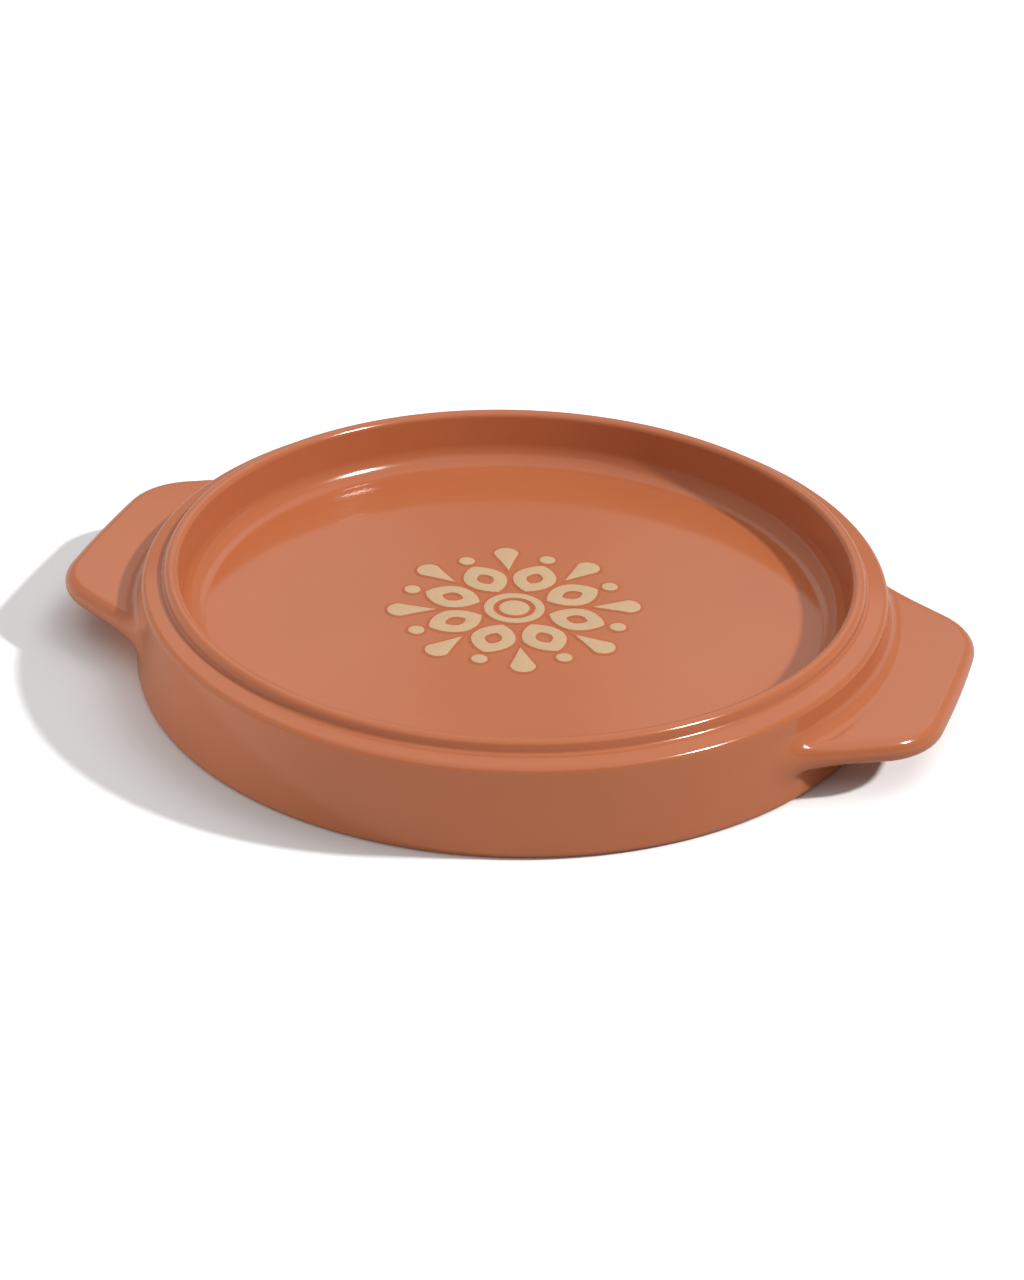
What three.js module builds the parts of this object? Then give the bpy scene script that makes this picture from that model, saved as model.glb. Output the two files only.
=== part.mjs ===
// A round glazed terracotta baking dish with two broad lug handles and a raised cream rosette.
// Millimetres, +Z up. The origin is on the dish's axis, on the table. The handles point along X.
import * as THREE from 'three';

// Bowl, outside
const baseRadius = 143.4;
const shoulderRadius = 140.3;
const shoulderHeight = 35;
const wallFootRound = 2;
const shoulderRound = 2.5;

// Rim: a raised lip inside a sloping ledge that seats a cover
const dishHeight = 40.7;
const lipThickness = 4.9;
const lipDraft = 0.8;
const ledgeWidth = 8.1;
const ledgeRise = 1.3;
const stepRound = 2;

// Bowl, inside
const floorHeight = 19.5;
const innerDraft = 2.2;
const floorRound = 9;

// Underside: a resting ring round a shallow recess
const floorThickness = 11;
const footWidth = 14;
const footDraft = 2;
const footInnerRound = 1.5;
const recessRound = 3;

// Handles
const handleReach = 30;
const handleBulge = 1.5;
const handleTipWidth = 86.7;
const handleRootWidth = 138.3;
const handleThickness = 9.4;
const handleUnderside = 13.1;
const handleCornerRound = 28;
const handleSideBlend = 30;
const handleRootFillet = 6.5;
const handleTailLength = 15;
const handleFeather = 0.3;
const handleSeatGap = 0.3;

// Rosette of raised cream slip on the floor
const slipThickness = 0.5;
const slipSpacing = 2.2;
const centreRadius = 5.8;
const ringWidth = 3.6;
const petalCount = 8;
const petalLength = 22;
const petalEyeShare = 0.38;
const leafTuck = 6;
const leafLength = 18.5;
const leafWidth = 9.6;
const dotRadius = 3.1;

// Facets
const turnFacets = 96;
const ringFacets = 40;
const arcStep = 22;
const handleArcStep = 8;
const handleStation = 7;
const edgeSteps = 8;
const filletSteps = 4;

const clay = { color: 0xc1714f, roughness: 0.22, metalness: 0 };
const slip = { color: 0xdcbc90, roughness: 0.85, metalness: 0 };

const group = new THREE.Group();

function addMesh(name, geometry, finish) {
  const mesh = new THREE.Mesh(geometry, new THREE.MeshStandardMaterial(finish));
  mesh.name = name;
  group.add(mesh);
}

// Rounds the inner corners of an open line. Each corner is [x, y, radius], and a radius that its
// two legs can't hold is cut down to what fits.
function roundCorners(corners, stepDegrees) {
  const line = corners.map(([x, y]) => new THREE.Vector2(x, y));
  const points = [line[0]];
  for (let i = 1; i < line.length - 1; i++) {
    const corner = line[i];
    const back = line[i - 1].clone().sub(corner);
    const ahead = line[i + 1].clone().sub(corner);
    const room = 0.499 * Math.min(back.length(), ahead.length());
    back.normalize();
    ahead.normalize();
    const half = Math.acos(THREE.MathUtils.clamp(back.dot(ahead), -1, 1)) / 2;
    const radius = Math.min(corners[i][2], room * Math.tan(half));
    const centre = back.clone().add(ahead).normalize().multiplyScalar(radius / Math.sin(half));
    centre.add(corner);
    const start = corner.clone().addScaledVector(back, radius / Math.tan(half)).sub(centre);
    const turn = (Math.PI - 2 * half) * Math.sign(ahead.cross(back));
    const steps = Math.max(1, Math.ceil(Math.abs(turn) / THREE.MathUtils.degToRad(stepDegrees)));
    for (let k = 0; k <= steps; k++) {
      const spoke = start.clone().rotateAround(new THREE.Vector2(), turn * k / steps);
      points.push(spoke.add(centre));
    }
  }
  points.push(line[line.length - 1]);
  return points;
}

// Adds points along the line's straight stretches until no two neighbours are further apart
function subdivide(line, spacing) {
  return line.flatMap((point, i) => {
    const next = line[i + 1] ?? point;
    const steps = Math.max(1, Math.ceil(point.distanceTo(next) / spacing));
    return Array.from({ length: steps }, (_, k) => point.clone().lerp(next, k / steps));
  });
}

// Outside radius of the wall, which leans in a little towards the shoulder
function wallRadius(height) {
  return baseRadius + (shoulderRadius - baseRadius) * height / shoulderHeight;
}

const lipOuterFoot = shoulderRadius - ledgeWidth;
const lipOuterTop = lipOuterFoot - lipDraft;
const lipInnerTop = lipOuterTop - lipThickness;
const floorRadius = lipInnerTop - innerDraft;
const recessHeight = floorHeight - floorThickness;
const footInner = baseRadius - footWidth;
const handleMiddle = handleUnderside + handleThickness / 2;
const handleSeat = wallRadius(handleMiddle) + handleSeatGap;

function makeDishBody() {
  const lipRound = lipThickness / 2;
  const profile = roundCorners([
    [0, recessHeight],
    [footInner - footDraft, recessHeight, recessRound],
    [footInner, 0, footInnerRound],
    [baseRadius, 0, wallFootRound],
    [shoulderRadius, shoulderHeight, shoulderRound],
    [lipOuterFoot, shoulderHeight + ledgeRise, stepRound],
    [lipOuterTop, dishHeight, lipRound],
    [lipInnerTop, dishHeight, lipRound],
    [floorRadius, floorHeight, floorRound],
    [0, floorHeight],
  ], arcStep);
  const bowl = new THREE.LatheGeometry(profile, turnFacets);
  bowl.rotateX(Math.PI / 2);
  addMesh('dish_body', bowl, clay);
}

// Plan of the right-hand handle from one end of its root to the other, as polar points about the
// dish's axis: the sides narrow outwards, and a wide blend carries each into the wall.
function handlePlan() {
  const rootAngle = Math.asin(handleRootWidth / 2 / handleSeat);
  const tailAngle = rootAngle + handleTailLength / handleSeat;
  const tip = handleSeat + handleReach;
  const onWall = (angle, round) => {
    return [handleSeat * Math.cos(angle), handleSeat * Math.sin(angle), round];
  };
  const plan = roundCorners([
    onWall(-tailAngle, 0),
    onWall(-rootAngle, handleSideBlend),
    [tip - handleBulge, -handleTipWidth / 2, handleCornerRound],
    [tip, 0, handleTipWidth],
    [tip - handleBulge, handleTipWidth / 2, handleCornerRound],
    onWall(rootAngle, handleSideBlend),
    onWall(tailAngle, 0),
  ], handleArcStep);
  const polar = subdivide(plan, handleStation).map((p) => {
    return { angle: Math.atan2(p.y, p.x), reach: p.length() - handleSeat };
  });
  return polar.filter((p) => p.reach > handleFeather);
}

// One upright section of a handle, from the top of its root over the rounded edge to the bottom.
// Each point is [distance out from the wall, height]. Where the handle is too short for its
// fillets and its round edge, both are squeezed along the reach, and the fillets run out.
function handleSection(reach, slant) {
  const half = handleThickness / 2;
  const edge = half * slant;
  const squeeze = Math.min(1, reach / (handleRootFillet + edge));
  const climb = handleRootFillet * Math.sqrt(squeeze);
  const upper = [];
  for (let k = 0; k <= filletSteps; k++) {
    const a = k / filletSteps * Math.PI / 2;
    const out = squeeze * handleRootFillet * (1 - Math.cos(a));
    upper.push([out, half + climb * (1 - Math.sin(a))]);
  }
  const lower = upper.map(([out, rise]) => [out, -rise]).reverse();
  const round = [];
  for (let k = 0; k <= edgeSteps; k++) {
    const b = k / edgeSteps * Math.PI;
    round.push([reach - squeeze * edge * (1 - Math.sin(b)), half * Math.cos(b)]);
  }
  return [...upper, ...round, ...lower, [0, 0]];
}

// Skins the sections of one handle into a closed solid. Each ring ends at the middle of the root,
// and the two end rings are closed by fans about that point.
function makeHandle(name, turn) {
  const plan = handlePlan();
  const rings = plan.map((p, i) => {
    const before = plan[Math.max(0, i - 1)];
    const after = plan[Math.min(plan.length - 1, i + 1)];
    const fall = (after.reach - before.reach) / (after.angle - before.angle);
    const slant = Math.hypot(1, fall / (handleSeat + p.reach));
    return handleSection(p.reach, slant).map(([out, rise]) => {
      const radius = wallRadius(handleMiddle + rise) + handleSeatGap + out;
      return [radius * Math.cos(p.angle), radius * Math.sin(p.angle), handleMiddle + rise];
    });
  });
  const size = rings[0].length;
  const faces = [];
  for (let i = 0; i < rings.length - 1; i++) {
    for (let j = 0; j < size; j++) {
      const a = i * size + j;
      const b = i * size + (j + 1) % size;
      faces.push(a, b, a + size, b, b + size, a + size);
    }
  }
  const last = (rings.length - 1) * size;
  for (let j = 0; j < size - 2; j++) {
    faces.push(size - 1, j + 1, j, last + size - 1, last + j, last + j + 1);
  }
  const handle = new THREE.BufferGeometry();
  handle.setAttribute('position', new THREE.Float32BufferAttribute(rings.flat(2), 3));
  handle.setIndex(faces);
  handle.rotateZ(turn);
  handle.computeVertexNormals();
  addMesh(name, handle, clay);
}

// A flat stroke of slip lying on the floor, drawn at the axis and then turned into its place
function addSlip(name, shape, turn, facets) {
  const stroke = new THREE.ExtrudeGeometry(shape, {
    depth: slipThickness,
    bevelEnabled: false,
    curveSegments: facets,
  });
  stroke.rotateZ(turn);
  stroke.translate(0, 0, floorHeight);
  addMesh(name, stroke, slip);
}

// A pointed almond from one radius to another, as wide as asked at its middle
function almond(path, start, end, halfWidth) {
  const middle = (start + end) / 2;
  const reach = (end - start) / 2;
  path.moveTo(start, 0);
  path.bezierCurveTo(start + reach * 0.35, -halfWidth, middle, -halfWidth, middle, -halfWidth);
  path.bezierCurveTo(end - reach * 0.5, -halfWidth, end - reach * 0.1, -halfWidth * 0.4, end, 0);
  path.bezierCurveTo(end - reach * 0.1, halfWidth * 0.4, end - reach * 0.5, halfWidth, middle, halfWidth);
  path.bezierCurveTo(middle, halfWidth, start + reach * 0.35, halfWidth, start, 0);
  return path;
}

// A drop with its point towards the axis and a round outer end
function drop(start, length, width) {
  const round = width / 2;
  const centre = start + Math.max(length - round, round);
  const shape = new THREE.Shape();
  shape.moveTo(start, 0);
  shape.quadraticCurveTo(centre - round * 0.6, -round * 0.75, centre, -round);
  shape.absarc(centre, 0, round, -Math.PI / 2, Math.PI / 2, false);
  shape.quadraticCurveTo(centre - round * 0.6, round * 0.75, start, 0);
  return shape;
}

function makeRosette() {
  const ringInner = centreRadius + slipSpacing;
  const ringOuter = ringInner + ringWidth;
  const petalStart = ringOuter + slipSpacing;
  const petalEnd = petalStart + petalLength;
  const sector = 2 * Math.PI / petalCount;
  const petalHalf = (petalStart + petalEnd) / 2 * Math.sin(sector / 2) - slipSpacing / 2;
  const eyeInset = (1 - petalEyeShare) / 2 * petalLength;
  const dotCentre = petalEnd + slipSpacing + dotRadius;

  const centre = new THREE.Shape().absarc(0, 0, centreRadius, 0, 2 * Math.PI, false);
  addSlip('rosette_centre', centre, 0, ringFacets / 2);

  const ring = new THREE.Shape().absarc(0, 0, ringOuter, 0, 2 * Math.PI, false);
  ring.holes.push(new THREE.Path().absarc(0, 0, ringInner, 0, 2 * Math.PI, true));
  addSlip('rosette_ring', ring, 0, ringFacets);

  for (let i = 0; i < petalCount; i++) {
    const onPetal = i * sector;
    const petal = almond(new THREE.Shape(), petalStart, petalEnd, petalHalf);
    const eye = new THREE.Path();
    almond(eye, petalStart + eyeInset, petalEnd - eyeInset, petalHalf * petalEyeShare);
    petal.holes.push(eye);
    addSlip(`rosette_petal_${i + 1}`, petal, onPetal, 5);
    const leaf = drop(petalEnd - leafTuck, leafLength, leafWidth);
    addSlip(`rosette_leaf_${i + 1}`, leaf, onPetal + sector / 2, 5);
    const dot = new THREE.Shape().absarc(dotCentre, 0, dotRadius, 0, 2 * Math.PI, false);
    addSlip(`rosette_dot_${i + 1}`, dot, onPetal, 12);
  }
}

makeDishBody();
makeHandle('handle_right', 0);
makeHandle('handle_left', Math.PI);
makeRosette();

export default group;
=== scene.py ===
import math
import bmesh
import bpy
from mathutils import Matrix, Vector


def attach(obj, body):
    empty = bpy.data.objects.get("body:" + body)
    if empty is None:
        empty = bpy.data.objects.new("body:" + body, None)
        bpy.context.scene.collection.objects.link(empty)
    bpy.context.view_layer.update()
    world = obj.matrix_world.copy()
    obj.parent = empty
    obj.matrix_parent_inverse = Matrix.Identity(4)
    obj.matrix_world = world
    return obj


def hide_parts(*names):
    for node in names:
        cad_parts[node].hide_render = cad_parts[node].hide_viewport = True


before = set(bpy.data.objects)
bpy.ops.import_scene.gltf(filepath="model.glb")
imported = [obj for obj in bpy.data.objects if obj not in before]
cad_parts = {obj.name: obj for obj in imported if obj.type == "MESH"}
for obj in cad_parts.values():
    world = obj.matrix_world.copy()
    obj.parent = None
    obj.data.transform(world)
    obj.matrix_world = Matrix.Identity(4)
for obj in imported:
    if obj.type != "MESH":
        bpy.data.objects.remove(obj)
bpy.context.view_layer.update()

# Sizes in millimetres, as measured from the photo. The solids' surfaces lie less than a
# millimetre from these. The dish stands on z = 0 round the Z axis.
MM = 0.001
BASE_RADIUS = 143.0
SHOULDER_RADIUS = 140.3
SHOULDER_HEIGHT = 35
SHOULDER_ROUND = 2.5
RIM_TOP = 40.7
LIP_OUTER = 131.4
LIP_INNER = 126.5
STEP_FOOT = (132.2, 36.3)
STEP_ROUND = 1.6
FLOOR_RADIUS = 124.3
FLOOR_HEIGHT = 19.5
FLOOR_ROUND = 9
RECESS_HEIGHT = 8.5
RECESS_ROUND = 3
FOOT_INNER = 129.0
FOOT_INNER_ROUND = 1.5
FOOT_DRAFT = 2
# A little rounder than the solid's, so that a thin dark line shows where the wall meets the table.
FOOT_ROUND = 2.5

HANDLE_TIP = 172.0
HANDLE_BULGE = 1.5
HANDLE_TIP_HALF = 43.35
HANDLE_ROOT_HALF = 69.1
HANDLE_CORNER = 28
HANDLE_SIDE_BLEND = 42
HANDLE_HALF = 4.7
HANDLE_MIDDLE = 17.8
ROOT_FILLET = 6.5
# The fillet and the round edge together fill no more than this share of the handle's reach.
FILLET_SHARE = 0.94
ANGLE_STEP = 0.001
# Points no further in than this from the shoulder's radius are the outer wall's.
OUTER_WALL_DEPTH = 2
MEASURE_SLACK = 0.001
NO_REACH = 1e-6

SLIP_HEIGHT = 0.3
SLIP_EDGE = 0.14
SLIP_SPACING = 2.2
CENTRE_RADIUS = 5.8
RING_WIDTH = 3.6
PETAL_COUNT = 8
PETAL_LENGTH = 22
PETAL_EYE = 0.38
LEAF_TUCK = 6
LEAF_LENGTH = 18.5
LEAF_WIDTH = 9.6
DOT_RADIUS = 3.1
HALO_HEIGHT = 0.08
HALO_EDGE = 0.03
HALO_WIDTH = 1.05
STROKE_STEPS = 9
STROKE_EDGE_STEPS = 3
STROKE_SHARP_ANGLE = 40
# How far a curve's handle stands out for a quarter circle of radius 1.
QUARTER_BOW = 0.5523

TURN_STEPS = 90
# Faces below this height are the resting ring, which is bare of glaze.
RING_FACE_TOP = 0.1
# Points nearer than this, in metres, are one point.
SAME_POINT = 1e-6
SAME_POINT_AT_MIRROR = 1e-5

GLAZE_DEEP = (0.486, 0.142, 0.054, 1)
GLAZE_THIN = (0.516, 0.156, 0.062, 1)
GLAZE_SPECK = (0.40, 0.085, 0.035, 1)
GLAZE_SPECK_STRENGTH = 0.25
GLAZE_ROUGHNESS = (0.13, 0.145)
SLIP_PALE = (0.593, 0.405, 0.235, 1)
SLIP_SANDY = (0.478, 0.305, 0.161, 1)
CLAY_DARK = (0.47, 0.125, 0.055, 1)
CLAY_PALE = (0.53, 0.15, 0.07, 1)
# How high the surfaces wave and how sandy they are, in metres.
GLAZE_WAVE_HEIGHT = 0.00003
GRAIN_HEIGHT = 0.0001

TABLE_SIZE_METRES = 8
TABLE_SEEN = (0.81, 0.81, 0.81, 1)
TABLE_IN_THE_REST = (0.40, 0.40, 0.40, 1)

# The sky: levels, the window's slope on each side, its soft edge and its post.
BEHIND = (-0.301, 0.9536, 0)
TO_THE_RIGHT = (0.949, 0.315, 0)
ROOM_LEVEL = 0.28
ROOM_GAIN_LEFT = 0.2
ROOM_LOSS_IN_FRONT = 0.12
ROOM_GAIN_LOW_BEHIND = 0.35
WINDOW_LEVEL = 0.98
IN_GLAZE = 0.86
WINDOW_LEFT = 0.6
WINDOW_RIGHT = 0.75
WINDOW_FRONT = 1.0
WINDOW_BACK = 1.96
WINDOW_SOFT = 0.03
POST_PLACE = 0.014
POST_OUTER = 0.045
POST_INNER = 0.015
POST_DEPTH = 0.72
# The post stands in the lower half of the sky behind, which begins softly.
LOW_DOWN_SOFT = 0.1


# Drawing and turning the clay

def edit(piece):
    bpy.ops.object.select_all(action="DESELECT")
    bpy.context.view_layer.objects.active = piece
    piece.select_set(True)
    bpy.ops.object.mode_set(mode="EDIT")
    bpy.ops.mesh.select_mode(type="VERT")


def leave_edit():
    bpy.ops.object.mode_set(mode="OBJECT")


def pick_points(piece, wanted):
    drawn = bmesh.from_edit_mesh(piece.data)
    for point in drawn.verts:
        point.select = wanted(point.co)
    drawn.select_flush_mode()
    bmesh.update_edit_mesh(piece.data)


def draw_profile(name, corners):
    """An upright outline in the XZ plane, its corners (x, z, radius, steps) rounded one by one"""
    bpy.ops.object.select_all(action="DESELECT")
    bpy.ops.mesh.primitive_plane_add(size=MM, location=(0, 0, 0))
    piece = bpy.context.object
    piece.name = piece.data.name = name
    edit(piece)
    bpy.ops.mesh.select_all(action="SELECT")
    bpy.ops.mesh.merge(type="CENTER")
    places = [Vector((x, 0, z)) * MM for x, z, radius, steps in corners]
    bpy.ops.transform.translate(value=places[0])
    for here, there in zip(places, places[1:]):
        bpy.ops.mesh.extrude_region_move(TRANSFORM_OT_translate={"value": there - here})
    for i in range(1, len(corners) - 1):
        radius, steps = corners[i][2:]
        if not radius:
            continue
        back = (places[i - 1] - places[i]).normalized()
        ahead = (places[i + 1] - places[i]).normalized()
        reach = radius * MM / math.tan(back.angle(ahead) / 2)
        pick_points(piece, lambda place: (place - places[i]).length < SAME_POINT)
        bpy.ops.mesh.bevel(offset=reach, segments=steps, affect="VERTICES", clamp_overlap=False)
    bpy.ops.mesh.select_all(action="SELECT")
    bpy.ops.mesh.remove_doubles(threshold=SAME_POINT)
    leave_edit()
    return piece


def wall_radius(height):
    return BASE_RADIUS + (SHOULDER_RADIUS - BASE_RADIUS) * height / SHOULDER_HEIGHT


def dish_profile():
    """From the middle of the underside out over the foot, the wall, one handle at its full reach,
    the shoulder, the ledge and the lip to the middle of the floor"""
    top = HANDLE_MIDDLE + HANDLE_HALF
    bottom = HANDLE_MIDDLE - HANDLE_HALF
    lip_round = (LIP_OUTER - LIP_INNER) / 2
    return [
        (0, RECESS_HEIGHT, 0, 0),
        (FOOT_INNER - FOOT_DRAFT, RECESS_HEIGHT, RECESS_ROUND, 6),
        (FOOT_INNER, 0, FOOT_INNER_ROUND, 5),
        (BASE_RADIUS, 0, FOOT_ROUND, 8),
        (wall_radius(bottom), bottom, ROOT_FILLET, 8),
        (HANDLE_TIP, bottom, HANDLE_HALF, 8),
        (HANDLE_TIP, top, HANDLE_HALF, 8),
        (wall_radius(top), top, ROOT_FILLET, 8),
        (SHOULDER_RADIUS, SHOULDER_HEIGHT, SHOULDER_ROUND, 9),
        (*STEP_FOOT, STEP_ROUND, 8),
        (LIP_OUTER, RIM_TOP, lip_round, 10),
        (LIP_INNER, RIM_TOP, lip_round, 10),
        (FLOOR_RADIUS, FLOOR_HEIGHT, FLOOR_ROUND, 14),
        (0, FLOOR_HEIGHT, 0, 0),
    ]


def circle_reach(centre, radius, ray, far):
    """How far out a ray from the axis meets a circle"""
    along = centre.dot(ray)
    aside = centre.cross(ray)
    return along + (1 if far else -1) * math.sqrt(max(0, radius ** 2 - aside ** 2))


def handle_plan():
    """The handle's outline seen from above, in four parts: bulged front, corner, side, blend"""
    seat = wall_radius(HANDLE_MIDDLE)
    tip_end = Vector((HANDLE_TIP - HANDLE_BULGE, HANDLE_TIP_HALF))
    root_end = Vector((math.sqrt(seat ** 2 - HANDLE_ROOT_HALF ** 2), HANDLE_ROOT_HALF))
    side = Vector((root_end.y - tip_end.y, tip_end.x - root_end.x)).normalized()
    side_offset = side.dot(tip_end)
    side_turn = math.atan2(side.y, side.x)
    front_radius = (HANDLE_TIP_HALF ** 2 + HANDLE_BULGE ** 2) / (2 * HANDLE_BULGE)
    front = Vector((HANDLE_TIP - front_radius, 0))
    along = Vector((-side.y, side.x))
    foot = side * (side_offset - HANDLE_CORNER) - front
    middle = foot.dot(along)
    inset = front_radius - HANDLE_CORNER
    slide = -middle - math.sqrt(middle ** 2 - foot.length_squared + inset ** 2)
    corner = foot + front + along * slide
    blend_far = seat + HANDLE_SIDE_BLEND
    blend_turn = side_turn - math.acos((side_offset + HANDLE_SIDE_BLEND) / blend_far)
    blend = Vector((math.cos(blend_turn), math.sin(blend_turn))) * blend_far
    front_end = corner + (corner - front).normalized() * HANDLE_CORNER
    corner_end = corner + side * HANDLE_CORNER
    side_end = blend - side * HANDLE_SIDE_BLEND

    def reach(angle):
        ray = Vector((math.cos(angle), math.sin(angle)))
        if angle < math.atan2(front_end.y, front_end.x):
            return circle_reach(front, front_radius, ray, True) - seat
        if angle < math.atan2(corner_end.y, corner_end.x):
            return circle_reach(corner, HANDLE_CORNER, ray, True) - seat
        if angle < math.atan2(side_end.y, side_end.x):
            return side_offset / side.dot(ray) - seat
        if angle < blend_turn:
            return circle_reach(blend, HANDLE_SIDE_BLEND, ray, False) - seat
        return 0
    return reach


def stretch(value, old, new):
    """Carries a value from one row of marks to the same place between the marks of another"""
    for a, b, c, d in zip(old, old[1:], new, new[1:]):
        if value <= b:
            return c + (d - c) * (value - a) / (b - a)
    return new[-1]


def pull_handle_to_plan(piece):
    """The turned flange is drawn in, column by column, to the handle's reach at that angle.
    Where it gets too short for its fillets and its round edge, they are squeezed and run out
    in the wall."""
    reach_at = handle_plan()
    seat = wall_radius(HANDLE_MIDDLE)
    full = HANDLE_TIP - seat
    root_half = HANDLE_HALF + ROOT_FILLET
    for point in piece.data.vertices:
        radius = math.hypot(point.co.x, point.co.y) / MM
        height = point.co.z / MM
        rise = height - HANDLE_MIDDLE
        if radius < SHOULDER_RADIUS - OUTER_WALL_DEPTH or abs(rise) > root_half + MEASURE_SLACK:
            continue
        out = max(0, radius - wall_radius(height))
        angle = math.atan2(abs(point.co.y), abs(point.co.x))
        reach = reach_at(angle)
        fall = (reach_at(angle + ANGLE_STEP) - reach_at(abs(angle - ANGLE_STEP))) / (2 * ANGLE_STEP)
        edge = HANDLE_HALF * math.hypot(1, fall / (seat + reach))
        squeeze = min(1, FILLET_SHARE * reach / (ROOT_FILLET + edge))
        marks = [0, ROOT_FILLET, full - HANDLE_HALF, full]
        drawn = stretch(out, marks, [0, ROOT_FILLET * squeeze, reach - edge * squeeze, reach])
        climb = max(0, abs(rise) - HANDLE_HALF)
        kept = math.copysign(min(abs(rise), HANDLE_HALF) + climb * math.sqrt(squeeze), rise)
        share = min(1, max(0, drawn / reach)) if reach > NO_REACH else min(1, out / full)
        spread = math.copysign(root_half * math.acos(2 * share - 1) / math.pi, rise)
        # the more it is squeezed, the more evenly its points are spread over the height
        fade = (1 - squeeze) ** 2 * (1 + 2 * squeeze)
        height = HANDLE_MIDDLE + kept + (spread - kept) * fade
        scale = (wall_radius(height) + drawn) / radius
        point.co = (point.co.x * scale, point.co.y * scale, height * MM)


def apply_modifier(piece, kind, **settings):
    bpy.ops.object.select_all(action="DESELECT")
    bpy.context.view_layer.objects.active = piece
    piece.select_set(True)
    modifier = piece.modifiers.new(kind.lower(), kind)
    for key, value in settings.items():
        setattr(modifier, key, value)
    bpy.ops.object.modifier_apply(modifier=modifier.name)


def turn_dish():
    """One quarter is turned, its handle is drawn in, and the rest is mirrored from it"""
    dish = draw_profile("glazed_dish", dish_profile())
    edit(dish)
    bpy.ops.mesh.select_all(action="SELECT")
    bpy.ops.mesh.spin(steps=TURN_STEPS, angle=math.pi / 2, center=(0, 0, 0), axis=(0, 0, 1))
    bpy.ops.mesh.select_all(action="SELECT")
    bpy.ops.mesh.remove_doubles(threshold=SAME_POINT)
    leave_edit()
    pull_handle_to_plan(dish)
    apply_modifier(
        dish, "MIRROR", use_axis=(True, True, False), merge_threshold=SAME_POINT_AT_MIRROR)
    edit(dish)
    bpy.ops.mesh.select_all(action="SELECT")
    bpy.ops.mesh.remove_doubles(threshold=SAME_POINT)
    bpy.ops.mesh.normals_make_consistent(inside=False)
    bpy.ops.mesh.faces_shade_smooth()
    leave_edit()
    apply_modifier(dish, "WEIGHTED_NORMAL", mode="FACE_AREA", weight=50, keep_sharp=False)
    return dish


# Strokes of slip

def loop_points(shape):
    """Each point of a closed stroke is (place, handle before, handle after), in millimetres"""
    return [[Vector((*spot, 0)) * MM for spot in point] for point in shape]


def round_loop(radius):
    bow = radius * QUARTER_BOW
    return [
        ((radius, 0), (radius, -bow), (radius, bow)),
        ((0, radius), (bow, radius), (-bow, radius)),
        ((-radius, 0), (-radius, bow), (-radius, -bow)),
        ((0, -radius), (-bow, -radius), (bow, -radius)),
    ]


def moved(loop, shift):
    return [tuple((x + shift, y) for x, y in point) for point in loop]


def almond_loop(start, end, half_width):
    """A petal along the X axis, blunt towards the rosette's centre and pointed outwards"""
    middle = (start + end) / 2
    reach = (end - start) / 2
    blunt = start + reach * 0.35
    slender = end - reach * 0.5
    tip = end - reach * 0.1
    tip_half = half_width * 0.4
    return [
        ((start, 0), (blunt, half_width), (blunt, -half_width)),
        ((middle, -half_width), (middle, -half_width), (slender, -half_width)),
        ((end, 0), (tip, -tip_half), (tip, tip_half)),
        ((middle, half_width), (slender, half_width), (middle, half_width)),
    ]


def drop_loop(start, length, width):
    """A drop along the X axis, pointed towards the rosette's centre and round outwards"""
    half = width / 2
    centre = start + length - half
    # each flank has one bend, and its curve's two handles stop two thirds of the way to it
    bend = (centre - half * 0.6, half * 0.75)
    early = (start + (bend[0] - start) * 2 / 3, bend[1] * 2 / 3)
    late = (centre + (bend[0] - centre) * 2 / 3, half + (bend[1] - half) * 2 / 3)
    bow = half * QUARTER_BOW
    return [
        ((start, 0), early, (early[0], -early[1])),
        ((centre, -half), (late[0], -late[1]), (centre + bow, -half)),
        ((centre + half, 0), (centre + half, -bow), (centre + half, bow)),
        ((centre, half), (centre + bow, half), late),
    ]


def flat_layer(name, loops, height, edge, swell):
    """A thin layer with rounded edges inside closed loops, resting on the dish's floor"""
    bpy.ops.object.select_all(action="DESELECT")
    bpy.ops.curve.primitive_bezier_circle_add()
    layer = bpy.context.object
    layer.name = name
    curve = layer.data
    curve.splines.clear()
    for shape in loops:
        spline = curve.splines.new("BEZIER")
        spline.bezier_points.add(len(shape) - 1)
        spline.use_cyclic_u = True
        spline.resolution_u = STROKE_STEPS
        for point, (place, before, after) in zip(spline.bezier_points, loop_points(shape)):
            point.handle_left_type = point.handle_right_type = "FREE"
            point.co, point.handle_left, point.handle_right = place, before, after
    curve.dimensions = "2D"
    curve.fill_mode = "BOTH"
    curve.extrude = (height / 2 - edge) * MM
    curve.bevel_depth = edge * MM
    curve.bevel_resolution = STROKE_EDGE_STEPS
    curve.offset = (swell - edge) * MM
    bpy.ops.object.convert(target="MESH")
    layer = bpy.context.object
    layer.data.name = name
    layer.location = (0, 0, (FLOOR_HEIGHT + height / 2) * MM)
    bpy.ops.object.transform_apply(location=True, rotation=True, scale=True)
    edit(layer)
    bpy.ops.mesh.select_all(action="SELECT")
    bpy.ops.mesh.remove_doubles(threshold=SAME_POINT)
    bpy.ops.mesh.normals_make_consistent(inside=False)
    leave_edit()
    return layer


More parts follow.
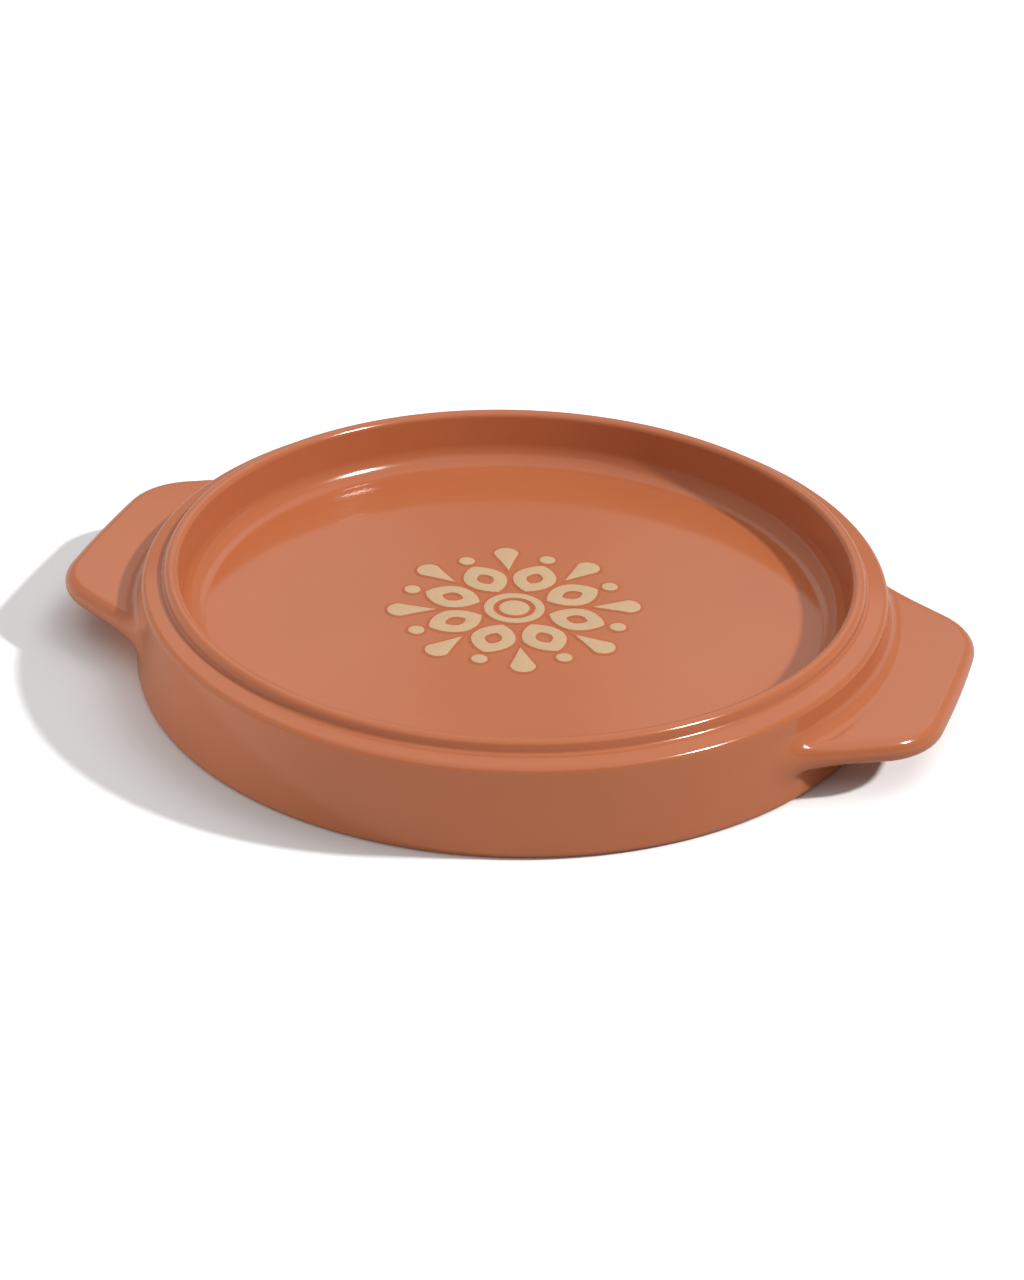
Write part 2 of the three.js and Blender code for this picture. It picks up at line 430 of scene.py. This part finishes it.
def lay_stroke(name, loops, slip, halo):
    """A stroke of slip with the dull ring of bare clay round it, as one piece of two materials"""
    stroke = flat_layer(name, loops, SLIP_HEIGHT, SLIP_EDGE, 0)
    ring = flat_layer(name + "_ring", loops, HALO_HEIGHT, HALO_EDGE, HALO_WIDTH)
    stroke.data.materials.clear()
    ring.data.materials.clear()
    stroke.data.materials.append(slip)
    ring.data.materials.append(halo)
    bpy.ops.object.select_all(action="DESELECT")
    ring.select_set(True)
    stroke.select_set(True)
    bpy.context.view_layer.objects.active = stroke
    bpy.ops.object.join()
    bpy.ops.object.shade_smooth_by_angle(angle=math.radians(STROKE_SHARP_ANGLE))
    return stroke


def turned_copy(piece, name, turn):
    bpy.ops.object.select_all(action="DESELECT")
    piece.select_set(True)
    bpy.context.view_layer.objects.active = piece
    bpy.ops.object.duplicate()
    copy = bpy.context.object
    copy.name = copy.data.name = name
    copy.rotation_euler.z = turn
    bpy.ops.object.transform_apply(location=True, rotation=True, scale=True)
    return copy


def lay_rosette(slip, halo):
    """A centre, a ring and eight each of petals, drop-shaped leaves and dots, by their nodes"""
    ring_inner = CENTRE_RADIUS + SLIP_SPACING
    ring_outer = ring_inner + RING_WIDTH
    petal_start = ring_outer + SLIP_SPACING
    petal_end = petal_start + PETAL_LENGTH
    sector = 2 * math.pi / PETAL_COUNT
    petal_half = (petal_start + petal_end) / 2 * math.sin(sector / 2) - SLIP_SPACING / 2
    eye_inset = (1 - PETAL_EYE) / 2 * PETAL_LENGTH
    dot_centre = petal_end + SLIP_SPACING + DOT_RADIUS
    petal = [
        almond_loop(petal_start, petal_end, petal_half),
        almond_loop(petal_start + eye_inset, petal_end - eye_inset, petal_half * PETAL_EYE),
    ]
    leaf = [drop_loop(petal_end - LEAF_TUCK, LEAF_LENGTH, LEAF_WIDTH)]
    dot = [moved(round_loop(DOT_RADIUS), dot_centre)]
    ring = [round_loop(ring_outer), round_loop(ring_inner)]
    strokes = {
        "rosette_centre": lay_stroke("slip_centre", [round_loop(CENTRE_RADIUS)], slip, halo),
        "rosette_ring": lay_stroke("slip_ring", ring, slip, halo),
    }
    for kind, loops, turn in (("petal", petal, 0), ("leaf", leaf, sector / 2), ("dot", dot, 0)):
        first = lay_stroke(f"slip_{kind}_first", loops, slip, halo)
        for i in range(PETAL_COUNT):
            copy = turned_copy(first, f"slip_{kind}_{i + 1}", turn + i * sector)
            strokes[f"rosette_{kind}_{i + 1}"] = copy
        bpy.data.objects.remove(first)
    return strokes


# Finishes

def add_node(tree, kind, inputs=(), **settings):
    node = tree.nodes.new(kind)
    for key, value in settings.items():
        setattr(node, key, value)
    for socket, value in dict(inputs).items():
        if isinstance(value, bpy.types.NodeSocket):
            tree.links.new(value, node.inputs[socket])
        else:
            node.inputs[socket].default_value = value
    return node


def calculate(tree, operation, *values):
    return add_node(tree, "ShaderNodeMath", dict(enumerate(values)), operation=operation).outputs[0]


def new_group(name, inputs, outputs):
    group = bpy.data.node_groups.new(name, "ShaderNodeTree")
    for label, value in inputs.items():
        socket = group.interface.new_socket(label, in_out="INPUT", socket_type="NodeSocketFloat")
        socket.default_value = value
    for label in outputs:
        group.interface.new_socket(label, in_out="OUTPUT", socket_type="NodeSocketFloat")
    return group, group.nodes.new("NodeGroupInput"), group.nodes.new("NodeGroupOutput")


def make_mottle_group():
    """Slow clouds, as a glaze pools and thins, from 0 to 1"""
    group, given, result = new_group("glaze_mottle", {"Size": 30, "Contrast": 2}, ["Mask"])
    place = add_node(group, "ShaderNodeTexCoord")
    scale = calculate(group, "DIVIDE", 1 / MM, given.outputs["Size"])
    clouds = add_node(group, "ShaderNodeTexNoise", {
        "Vector": place.outputs["Object"], "Scale": scale, "Detail": 3, "Roughness": 0.55})
    centred = calculate(group, "SUBTRACT", clouds.outputs["Fac"], 0.5)
    stretched = add_node(group, "ShaderNodeMath", {
        0: centred, 1: given.outputs["Contrast"], 2: 0.5}, operation="MULTIPLY_ADD", use_clamp=True)
    group.links.new(stretched.outputs[0], result.inputs["Mask"])
    return group


def make_grain_group():
    """Fine specks and a sandy height, as clay and slip show close up"""
    group, given, result = new_group(
        "clay_grain", {"Size": 0.6, "Share": 0.35}, ["Specks", "Height"])
    place = add_node(group, "ShaderNodeTexCoord")
    scale = calculate(group, "DIVIDE", 1 / MM, given.outputs["Size"])
    grains = add_node(group, "ShaderNodeTexNoise", {
        "Vector": place.outputs["Object"], "Scale": scale, "Detail": 2, "Roughness": 0.6})
    edge = calculate(group, "SUBTRACT", 1, given.outputs["Share"])
    specks = add_node(group, "ShaderNodeMapRange", {
        "Value": grains.outputs["Fac"], "From Min": edge, "From Max": 0.8})
    group.links.new(specks.outputs[0], result.inputs["Specks"])
    group.links.new(grains.outputs["Fac"], result.inputs["Height"])
    return group


def place_group(tree, group, **inputs):
    return add_node(tree, "ShaderNodeGroup", inputs, node_tree=group)


def new_material(name):
    material = bpy.data.materials.new(name)
    material.use_nodes = True
    return material, material.node_tree, material.node_tree.nodes["Principled BSDF"]


def set_shader(shader, **values):
    for label, value in values.items():
        shader.inputs[label.replace("_", " ")].default_value = value


def mix_colours(tree, mask, low, high):
    """Inputs 6 and 7 of a mix are its two colours, and output 2 is the mixed colour"""
    colours = {"Factor": mask, 6: low, 7: high}
    return add_node(tree, "ShaderNodeMix", colours, data_type="RGBA").outputs[2]


def set_bump(tree, shader, height, strength, distance):
    bump = add_node(tree, "ShaderNodeBump", {
        "Height": height, "Strength": strength, "Distance": distance})
    tree.links.new(bump.outputs[0], shader.inputs["Normal"])


def make_glaze(mottle, grain):
    """Glossy and cloudy in colour, faintly specked, with slow waves that bend the highlights"""
    material, tree, shader = new_material("terracotta_glaze")
    clouds = place_group(tree, mottle, Size=55, Contrast=1.6)
    body = mix_colours(tree, clouds.outputs["Mask"], GLAZE_DEEP, GLAZE_THIN)
    specks = place_group(tree, grain, Size=0.9, Share=0.36)
    faint = calculate(tree, "MULTIPLY", specks.outputs["Specks"], GLAZE_SPECK_STRENGTH)
    colour = mix_colours(tree, faint, body, GLAZE_SPECK)
    tree.links.new(colour, shader.inputs["Base Color"])
    sheen = add_node(tree, "ShaderNodeMapRange", {
        "Value": clouds.outputs["Mask"], "To Min": GLAZE_ROUGHNESS[0], "To Max": GLAZE_ROUGHNESS[1]})
    tree.links.new(sheen.outputs[0], shader.inputs["Roughness"])
    waves = place_group(tree, mottle, Size=14, Contrast=1)
    set_bump(tree, shader, waves.outputs["Mask"], 1, GLAZE_WAVE_HEIGHT)
    set_shader(shader, IOR=1.5)
    return material


def make_slip(grain):
    """Matte cream, faintly sandy"""
    material, tree, shader = new_material("cream_slip")
    specks = place_group(tree, grain, Size=0.7, Share=0.42)
    colour = mix_colours(tree, specks.outputs["Specks"], SLIP_PALE, SLIP_SANDY)
    tree.links.new(colour, shader.inputs["Base Color"])
    set_bump(tree, shader, specks.outputs["Height"], 0.6, GRAIN_HEIGHT)
    set_shader(shader, Roughness=0.75, IOR=1.3)
    return material


def make_bare_clay(mottle, grain):
    """Dull clay without glaze, on the resting ring and round each stroke"""
    material, tree, shader = new_material("bare_clay")
    clouds = place_group(tree, mottle, Size=9, Contrast=1.8)
    colour = mix_colours(tree, clouds.outputs["Mask"], CLAY_DARK, CLAY_PALE)
    tree.links.new(colour, shader.inputs["Base Color"])
    specks = place_group(tree, grain, Size=0.8, Share=0.4)
    set_bump(tree, shader, specks.outputs["Height"], 0.4, GRAIN_HEIGHT)
    set_shader(shader, Roughness=0.6, IOR=1.2)
    return material


# Table, light and camera

def make_table():
    """A white table, which counts as a greyer one in the light that it throws on the dish"""
    bpy.ops.object.select_all(action="DESELECT")
    bpy.ops.mesh.primitive_plane_add(size=TABLE_SIZE_METRES, location=(0, 0, 0))
    table = bpy.context.object
    table.name = table.data.name = "white_table"
    material, tree, shader = new_material("white_table")
    ray = add_node(tree, "ShaderNodeLightPath")
    colour = mix_colours(tree, ray.outputs["Is Camera Ray"], TABLE_IN_THE_REST, TABLE_SEEN)
    tree.links.new(colour, shader.inputs["Base Color"])
    set_shader(shader, Roughness=1, Specular_IOR_Level=0)
    table.data.materials.append(material)
    return table


def towards(tree, side):
    """How far the sky's direction turns to one side, from -1 to 1"""
    place = add_node(tree, "ShaderNodeTexCoord")
    ways = {0: place.outputs["Generated"], 1: side}
    return add_node(tree, "ShaderNodeVectorMath", ways, operation="DOT_PRODUCT").outputs["Value"]


def ramp(tree, value, start, stop, first=0, last=1):
    """A soft change from first to last while the value goes from start to stop"""
    ends = {"Value": value, "From Min": start, "From Max": stop, "To Min": first, "To Max": last}
    return add_node(tree, "ShaderNodeMapRange", ends, interpolation_type="SMOOTHSTEP").outputs[0]


def make_sky():
    """A dim room under a long window in the roof, which runs from over the viewer's head to low
    behind the dish and has a narrow post there. The room is lighter at the left and low behind,
    and darker in front. The glaze shows all of it a little dimmer, and the eye sees plain white."""
    world = bpy.data.worlds.new("pale_studio")
    bpy.context.scene.world = world
    world.use_nodes = True
    tree = world.node_tree
    tree.nodes.clear()
    up = towards(tree, (0, 0, 1))
    behind = towards(tree, BEHIND)
    aside = towards(tree, TO_THE_RIGHT)
    sides = [
        calculate(tree, "MULTIPLY_ADD", up, WINDOW_LEFT, aside),
        calculate(tree, "MULTIPLY_ADD", up, WINDOW_RIGHT, calculate(tree, "MULTIPLY", aside, -1)),
        calculate(tree, "MULTIPLY_ADD", up, WINDOW_BACK, calculate(tree, "MULTIPLY", behind, -1)),
        calculate(tree, "MULTIPLY_ADD", up, WINDOW_FRONT, behind),
    ]
    inside = sides[0]
    for side in sides[1:]:
        inside = calculate(tree, "MINIMUM", inside, side)
    window = ramp(tree, inside, -WINDOW_SOFT, WINDOW_SOFT)
    off_post = calculate(tree, "ABSOLUTE", calculate(tree, "SUBTRACT", aside, POST_PLACE))
    low_down = ramp(
        tree, calculate(tree, "SUBTRACT", behind, up), start=-LOW_DOWN_SOFT, stop=LOW_DOWN_SOFT)
    post = calculate(tree, "MULTIPLY", ramp(tree, off_post, POST_OUTER, POST_INNER), low_down)
    past_post = calculate(tree, "MULTIPLY_ADD", post, -POST_DEPTH, 1)
    window = calculate(tree, "MULTIPLY", window, past_post)
    at_left = ramp(tree, aside, start=0.2, stop=-0.9, first=0, last=ROOM_GAIN_LEFT)
    in_front = ramp(
        tree, behind, start=-0.1, stop=-0.8, first=ROOM_LEVEL, last=ROOM_LEVEL - ROOM_LOSS_IN_FRONT)
    near_table = ramp(tree, up, start=0.26, stop=0.1)
    far_off = ramp(tree, behind, start=0, stop=0.3, first=0, last=ROOM_GAIN_LOW_BEHIND)
    low_behind = calculate(tree, "MULTIPLY", near_table, far_off)
    room = calculate(tree, "ADD", calculate(tree, "ADD", at_left, in_front), low_behind)
    level = ramp(tree, window, start=0, stop=1, first=room, last=WINDOW_LEVEL)
    ray = add_node(tree, "ShaderNodeLightPath")
    in_glaze = ramp(tree, ray.outputs["Is Diffuse Ray"], start=0, stop=1, first=IN_GLAZE, last=1)
    level = calculate(tree, "MULTIPLY", level, in_glaze)
    level = calculate(tree, "MAXIMUM", level, ray.outputs["Is Camera Ray"])
    sky = add_node(tree, "ShaderNodeBackground", {"Color": (1, 1, 1, 1), "Strength": level})
    add_node(tree, "ShaderNodeOutputWorld", {"Surface": sky.outputs[0]})


def add_sun(name, azimuth, elevation, level, width):
    """A far lamp. Level is what it adds on a white surface that faces it squarely, and width is
    how many degrees of the sky it fills."""
    sun = bpy.data.lights.new(name, "SUN")
    sun.energy = level * math.pi
    sun.angle = math.radians(width)
    lamp = bpy.data.objects.new(name, sun)
    bpy.context.scene.collection.objects.link(lamp)
    a, e = math.radians(azimuth), math.radians(elevation)
    way = Vector((math.cos(a) * math.cos(e), math.sin(a) * math.cos(e), math.sin(e)))
    lamp.rotation_euler = way.to_track_quat("Z", "Y").to_euler()
    lamp.location = way * 2
    return lamp


def link_things(name, things, state):
    """A group of things that a lamp lights alone, or passes by"""
    group = bpy.data.collections.new(name)
    for thing in things:
        group.objects.link(thing)
    for member in group.collection_objects:
        member.light_linking.link_state = state
    return group


def add_lamps(table):
    """The window's brightest part is a lamp too, one for the dish's colour, one for its glints
    and one for the shadow on the table, which a wider one softens. The light that the table throws
    back at the left is a soft lamp from below, which the table doesn't hide."""
    on_table = link_things("table_alone", [table], "INCLUDE")
    off_table = link_things("all_but_table", [table], "EXCLUDE")
    on_dish = add_sun("window_on_dish", azimuth=-1.5, elevation=47.5, level=0.66, width=4)
    on_dish.visible_glossy = False
    on_dish.light_linking.receiver_collection = off_table
    glint = add_sun("window_in_glaze", azimuth=-1.5, elevation=47.5, level=0.9, width=8)
    glint.visible_diffuse = False
    glint.light_linking.receiver_collection = off_table
    shadow = add_sun("window_on_table", azimuth=21, elevation=35, level=1.35, width=4)
    shadow.light_linking.receiver_collection = on_table
    soft_shadow = add_sun("roof_on_table", azimuth=47, elevation=60, level=0.17, width=30)
    soft_shadow.light_linking.receiver_collection = on_table
    fill = add_sun("table_at_left", azimuth=-160, elevation=-22, level=0.60, width=40)
    fill.data.color = (0.85, 1, 1.25)
    fill.visible_glossy = False
    fill.light_linking.receiver_collection = off_table
    fill.light_linking.blocker_collection = off_table


def add_camera():
    """The photo's view, found from the dish's rings and handles"""
    camera = bpy.data.cameras.new("photo_view")
    camera.sensor_width = 36
    camera.lens = 90.643
    viewer = bpy.data.objects.new("photo_view", camera)
    bpy.context.scene.collection.objects.link(viewer)
    viewer.location = (0.32154, -1.01878, 0.61474)
    viewer.rotation_euler = [math.radians(turn) for turn in (60.3024, -1.4365, 18.363)]
    bpy.context.scene.camera = viewer


def glaze_dish(dish, glaze, bare_clay):
    """The resting ring is wiped clean of glaze, so that the dish doesn't stick in the kiln"""
    dish.data.materials.clear()
    for material in (glaze, bare_clay):
        dish.data.materials.append(material)
    points = dish.data.vertices
    for face in dish.data.polygons:
        heights = [points[corner].co.z / MM for corner in face.vertices]
        face.material_index = int(max(heights) < RING_FACE_TOP)


def finish_piece(piece, slot, *nodes):
    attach(piece, "root")
    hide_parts(*nodes)


add_camera()
table = make_table()
make_sky()
add_lamps(table)
bpy.context.scene.view_settings.view_transform = "Standard"

mottle = make_mottle_group()
grain = make_grain_group()
glaze = make_glaze(mottle, grain)
slip = make_slip(grain)
bare_clay = make_bare_clay(mottle, grain)

dish = turn_dish()
glaze_dish(dish, glaze, bare_clay)
finish_piece(dish, "terracotta_glaze", "dish_body", "handle_right", "handle_left")
for node, stroke in lay_rosette(slip, bare_clay).items():
    finish_piece(stroke, "cream_slip", node)
